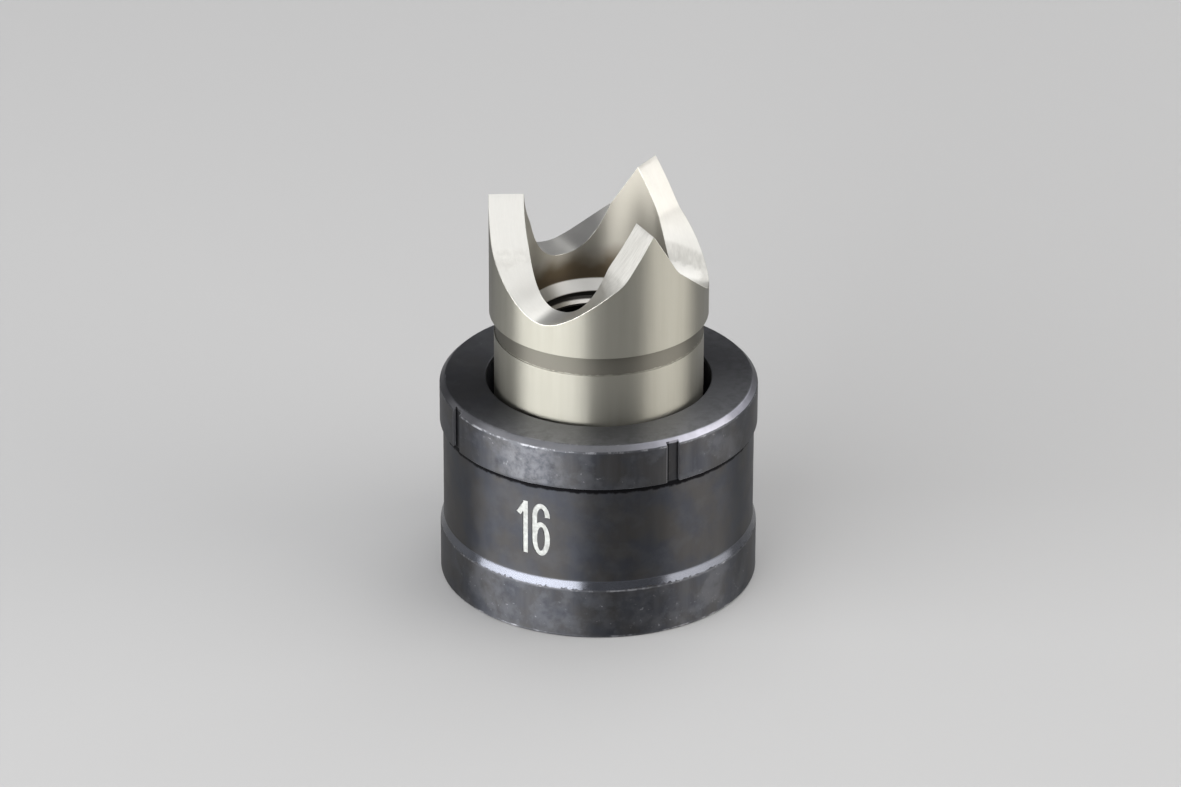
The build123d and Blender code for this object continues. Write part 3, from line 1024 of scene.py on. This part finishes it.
def cutter_marks(tree, on_right, clouds, streaks):
    """The patch of cutter marks below each flank, as a mask, and the marks in it.

    The patch slopes down outwards on the right flank, and has grooves there and blotches elsewhere.
    """
    x, _, z = parts_of(tree, spot_in_millimetres(tree))
    foot = flank_height(CUTTING_RADIUS, FLANK_FOOT_OUTSIDE)
    drop = maths(tree, "ADD", product(tree, x, MARKS_SLOPE), MARKS_DROP)
    level = maths(tree, "ADD", z, product(tree, on_right, drop))
    uneven = masked(tree, clouds, size=0.8, softness=0.22)
    depth = maths(tree, "ADD", blended(tree, on_right, *MARKS_REACH), product(tree, uneven, 0.4))
    marked = between(tree, level, maths(tree, "SUBTRACT", foot, depth), foot + 0.1, edge=0.15)
    grooves = masked(tree, streaks, length_x=0.26, length_y=0.6, length_z=5.0, softness=0.3)
    blotches = masked(tree, clouds, size=0.55, softness=0.25)
    marks = blended(tree, on_right, product(tree, blotches, 0.5), blended(tree, grooves, *GROOVES_SHOWN))
    return marked, marks


def grinding_lines(tree, lathe):
    """Fine lines along the crown's faces, round the axis."""
    _, y, z = parts_of(tree, spot_in_millimetres(tree))
    across = product(tree, placed(tree, lathe)["Radius"], LINES_ACROSS)
    along = vector_of(tree, across, product(tree, y, LINES_ALONG), product(tree, z, LINES_ALONG))
    return ramp(tree, noise(tree, along, detail=6.0, roughness=0.7), low=0.3, high=0.7)


def milled_steel(lathe, clouds, streaks):
    """The crown's milled faces, with grinding lines along them and cutter marks below each flank."""
    material, tree, shader = metal("milled_steel", MILLED_COLOUR, roughness=0.36)
    x, y, _ = parts_of(tree, spot_in_millimetres(tree))
    on_right = ramp(tree, x, *RIGHT_FLANK_X)
    marked, marks = cutter_marks(tree, on_right, clouds, streaks)
    soft = masked(tree, clouds, size=1.8, softness=0.25)
    ground = grinding_lines(tree, lathe)
    at_front = inverse(tree, ramp(tree, y, *FRONT_FLANK_Y))
    front_flank = product(tree, at_front, ramp(tree, x, *FRONT_FLANK_X))
    darker = [
        product(tree, marked, marks, 0.48),
        product(tree, soft, 0.12),
        product(tree, ground, 0.06),
        product(tree, front_flank, blended(tree, ground, *GROUND_SHOWN)),
    ]
    dark = darker[0]
    for part in darker[1:]:
        dark = maths(tree, "ADD", dark, part)
    join(tree, mixed(tree, dark, MILLED_COLOUR, MILLED_DARK), shader.inputs["Base Color"])
    roughness = blended(tree, on_right, blended(tree, soft, *MILLED_ROUGHNESS), RIGHT_ROUGHNESS)
    join(tree, blended(tree, marked, roughness, MARKED_ROUGHNESS), shader.inputs["Roughness"])
    bumped(tree, shader, product(tree, marked, marks), strength=0.25, depth=0.008)
    return material


def bright_edge(clouds):
    """The narrow polished line along the crown's edges."""
    material, tree, shader = metal("bright_edge", EDGE_COLOUR, roughness=0.4)
    nicks = masked(tree, clouds, size=0.3, level=0.62, softness=0.06)
    join(tree, mixed(tree, nicks, EDGE_COLOUR, MILLED_DARK), shader.inputs["Base Color"])
    return material


def thread_steel(lathe, clouds):
    """The finish of the thread, bright on its crests, darker further down the bore, and near-black towards
    its roots as painted shade.
    """
    material, tree, shader = metal("thread_steel", THREAD_COLOUR, roughness=0.25)
    spot = placed(tree, lathe)
    specks = masked(tree, clouds, size=0.5, softness=0.2)
    # Darker further down the bore, in specks
    low, high = (THREAD_TOP - below for below in THREAD_BRIGHT)
    deep = inverse(tree, ramp(tree, spot["Height"], low, high))
    darkened_low = blended(tree, deep, product(tree, specks, 0.1), blended(tree, specks, *THREAD_DARKENING_SHOWN))
    colour = mixed(tree, darkened_low, THREAD_COLOUR, THREAD_DARKENED)
    # Painted shade, near-black towards the thread's roots
    crest, root = (THREAD_RADIUS - inwards for inwards in THREAD_ROOT)
    root_shade = ramp(tree, spot["Radius"], crest, root)
    join(tree, mixed(tree, root_shade, colour, THREAD_GROOVE_SHADE), shader.inputs["Base Color"])
    join(tree, blended(tree, darkened_low, *THREAD_ROUGHNESS), shader.inputs["Roughness"])
    return material


def make_floor():
    """A wide pale floor under the die."""
    material = bpy.data.materials.new("floor_paint")
    material.use_nodes = True
    tree = material.node_tree
    shader = tree.nodes["Principled BSDF"]
    join(tree, FLOOR_COLOUR, shader.inputs["Base Color"])
    join(tree, FLOOR_ROUGHNESS, shader.inputs["Roughness"])
    sheet = bmesh.new()
    bmesh.ops.create_grid(sheet, x_segments=1, y_segments=1, size=FLOOR_REACH * MM)
    mesh = bpy.data.meshes.new("floor")
    sheet.to_mesh(mesh)
    sheet.free()
    mesh.materials.append(material)
    floor = bpy.data.objects.new("floor", mesh)
    bpy.context.scene.collection.objects.link(floor)


def softbox(name, heading, elevation, distance, width, height, radiance, tint):
    """A soft rectangular lamp that faces the object, as bright as its radiance says."""
    light = bpy.data.lights.new(name, "AREA")
    light.shape = "RECTANGLE"
    light.size = width * MM
    light.size_y = height * MM
    light.energy = radiance * pi * light.size * light.size_y
    light.color = tint
    lamp = bpy.data.objects.new(name, light)
    level = cos(radians(elevation))
    heading = radians(heading)
    away = Vector((sin(heading) * level, -cos(heading) * level, sin(radians(elevation))))
    lamp.location = away * distance * MM
    lamp.rotation_mode = "QUATERNION"
    lamp.rotation_quaternion = away.to_track_quat("Z", "Y")
    lamp.visible_camera = False
    bpy.context.scene.collection.objects.link(lamp)


def light_studio():
    """Soft lamps low at the left and right, high in front and behind, in an even grey surround."""
    world = bpy.data.worlds.new("studio")
    world.use_nodes = True
    surround = world.node_tree.nodes["Background"].inputs
    join(world.node_tree, SURROUND, surround["Color"])
    join(world.node_tree, 1.0, surround["Strength"])
    bpy.context.scene.world = world
    for lamp in LAMPS:
        softbox(*lamp)


def make_camera():
    """The camera, placed and turned as the photograph's was."""
    data = bpy.data.cameras.new("camera")
    data.sensor_width = SENSOR_WIDTH
    data.lens = FOCAL_PIXELS / PHOTO_WIDTH * SENSOR_WIDTH
    data.clip_start = CLIP_START * MM
    data.clip_end = CLIP_END * MM
    camera = bpy.data.objects.new("camera", data)
    heading = Matrix.Rotation(radians(CAMERA_HEADING), 4, "Z")
    place = heading @ Matrix.Translation((0, -CAMERA_BACK * MM, CAMERA_HEIGHT * MM))
    yaw = Matrix.Rotation(radians(CAMERA_YAW), 4, "Z")
    pitch = Matrix.Rotation(radians(90 - CAMERA_PITCH), 4, "X")
    camera.matrix_world = place @ yaw @ pitch @ Matrix.Rotation(radians(CAMERA_ROLL), 4, "Z")
    bpy.context.scene.collection.objects.link(camera)
    bpy.context.scene.camera = camera


lathe = lathe_position()
clouds = clouding()
streaks = streaking()
make_die(black_oxide(lathe, clouds, streaks, rim_wear(lathe)))
make_punch(satin_nickel(lathe, clouds, streaks), milled_steel(lathe, clouds, streaks), bright_edge(clouds))
make_thread(thread_steel(lathe, clouds))
make_floor()
light_studio()
make_camera()
bpy.context.scene.view_settings.view_transform = "Standard"
